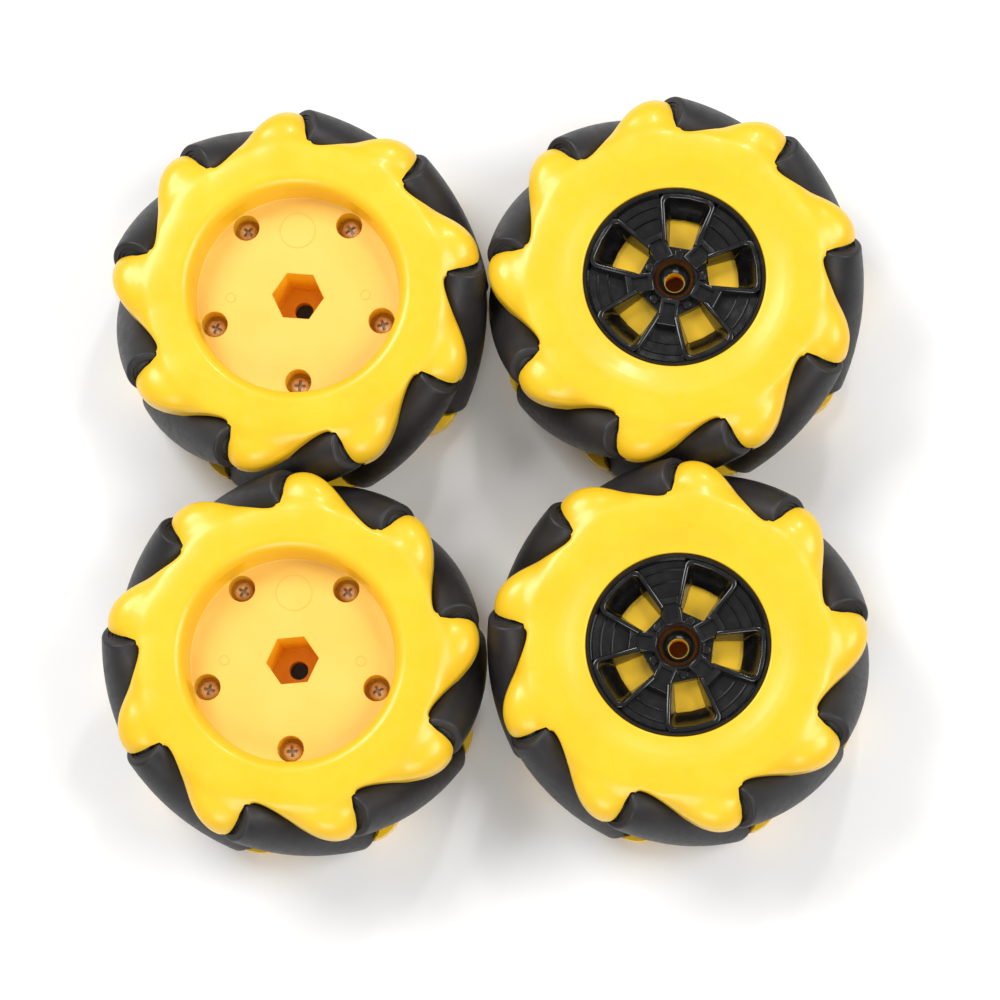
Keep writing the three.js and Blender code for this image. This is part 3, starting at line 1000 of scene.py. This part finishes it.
def build(frame):
    """Makes each shape once and puts finished copies of it into the four wheels."""
    looks = {
        "yellow": yellow_plastic(),
        "satin_painted_sheen": sheen_painted_yellow_plastic(),
        "sunk": glow_painted_yellow_plastic(),
        "rubber": roller_rubber(),
        "black": black_plastic(),
        "core": dull_black_plastic(),
        "screw": brassy_screw(),
        "steel": axle_steel(),
    }
    yellow, black, steel = looks["yellow"], looks["black"], looks["steel"]
    half_turn = Matrix.Rotation(math.pi, 4, "X")
    hub, rim, cap = hub_plate(), rim_plate(), hub_cap()
    sleeve, core, pins, screws = rubber_sleeve(), core_bush(), pin_set(), screw_set()
    zones = recess_zones(hub)
    for wheel in WHEELS:
        place = wheel_place(frame, wheel)
        screw_nodes = [n for n in frame["nodes"] if n.startswith(f"{wheel}_screw")]
        for shape, matrix, part in ((hub, place, "hub_plate"), (rim, place @ half_turn, "rim_plate")):
            node = f"{wheel}_{part}"
            plate = finished(shape, f"{node}_shell", matrix, wheel, yellow, [node])
            if shape is hub:
                painted(plate, zones, looks)
        facing = cap_matrix(wheel, place)
        cap_nodes = [f"{wheel}_hub_cap"]
        finished(cap, f"{wheel}_cap", facing, wheel, black, cap_nodes)
        finished(screws, f"{wheel}_screws", place, wheel, looks["screw"], screw_nodes)
        finished(pins, f"{wheel}_pins", place, wheel, steel)
        for k in range(ROLLERS):
            body = f"{wheel}_roller_{k + 1}"
            matrix = place @ at_roller(k)
            finished(sleeve, f"{body}_sleeve", matrix, body, looks["rubber"], [body])
            finished(core, f"{body}_core", matrix, body, looks["core"])
    for shape in (hub, rim, cap, sleeve, core, pins, screws):
        removed(shape)


def cap_matrix(wheel, place):
    """The cap faces out, with a window at its own angle whatever the wheel's turn and hand are."""
    centre = place.to_translation()
    outward = place.to_3x3() @ Vector((0, 0, -1))
    turn = Matrix.Rotation(math.radians(CAP_TURNS[wheel]), 4, "Z")
    flip = Matrix.Identity(4) if outward.z > 0 else Matrix.Rotation(math.pi, 4, "X")
    return Matrix.Translation(centre) @ turn @ flip @ Matrix.Diagonal((MM, MM, MM, 1))


# --- Studio, with places and sizes in metres ---

CAMERA_TILT = (10.39, 2.75)  # degrees from straight down, about X and then about Y
CAMERA_AWAY = 1.19
CAMERA_LENS = 161.9
AIM = (0.0031, -0.0058)  # where the camera points, from the middle of the set
SENSOR_WIDTH = 36
FAR_CLIP = 20

FLOOR_HALF = 3
FLOOR_DROP = 0.0002  # keeps the floor just clear of the wheels
WORLD_LIGHT = 0.32
LIGHTS = (  # name, width, power, place, length in widths
    ("key", 0.7, 14.0, (-0.8, 0.65, 1.15), 1.0),
    ("fill", 0.7, 9.5, (0.95, 0.05, 1.1), 1.0),
    ("front", 0.7, 6.5, (-0.1, -1.05, 1.0), 1.0),
    ("streak", 0.08, 1.8, (0.22, 0.7, 0.9), 2.0),
)


def camera():
    """A long lens, looking down at the set."""
    data = bpy.data.cameras.new("camera")
    data.lens = CAMERA_LENS
    data.sensor_width = SENSOR_WIDTH
    data.clip_end = FAR_CLIP
    seen = bpy.data.objects.new("camera", data)
    bpy.context.scene.collection.objects.link(seen)
    seen.rotation_mode = "YXZ"
    seen.rotation_euler = (math.radians(CAMERA_TILT[0]), math.radians(CAMERA_TILT[1]), 0)
    low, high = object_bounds()
    middle = (Vector(low) + Vector(high)) / 2
    target = middle + Vector((*AIM, 0))
    seen.location = target + seen.rotation_euler.to_matrix() @ Vector((0, 0, CAMERA_AWAY))
    bpy.context.scene.camera = seen


def area_light(name, size, power, place, stretch):
    """A soft light aimed at the middle of the set."""
    data = bpy.data.lights.new(name, "AREA")
    data.shape = "RECTANGLE"
    data.size = size
    data.size_y = size * stretch
    data.energy = power
    lamp = bpy.data.objects.new(name, data)
    bpy.context.scene.collection.objects.link(lamp)
    lamp.location = place
    lamp.rotation_euler = (-Vector(place)).to_track_quat("-Z", "Y").to_euler()


def studio():
    """The floor, the world and the lights."""
    bpy.context.scene.view_settings.view_transform = "Standard"
    corners = [(x * FLOOR_HALF, y * FLOOR_HALF, 0) for x, y in ((-1, -1), (1, -1), (1, 1), (-1, 1))]
    floor = mesh_object("floor", corners, [(0, 1, 2, 3)])
    floor.location.z = -FLOOR_DROP
    floor.data.materials.append(studio_floor())
    floor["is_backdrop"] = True
    world = bpy.data.worlds.new("studio")
    world.use_nodes = True
    background = world.node_tree.nodes["Background"]
    background.inputs["Color"].default_value = (1, 1, 1, 1)
    background.inputs["Strength"].default_value = WORLD_LIGHT
    bpy.context.scene.world = world
    for light in LIGHTS:
        area_light(*light)


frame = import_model()
build(frame)
camera()
studio()
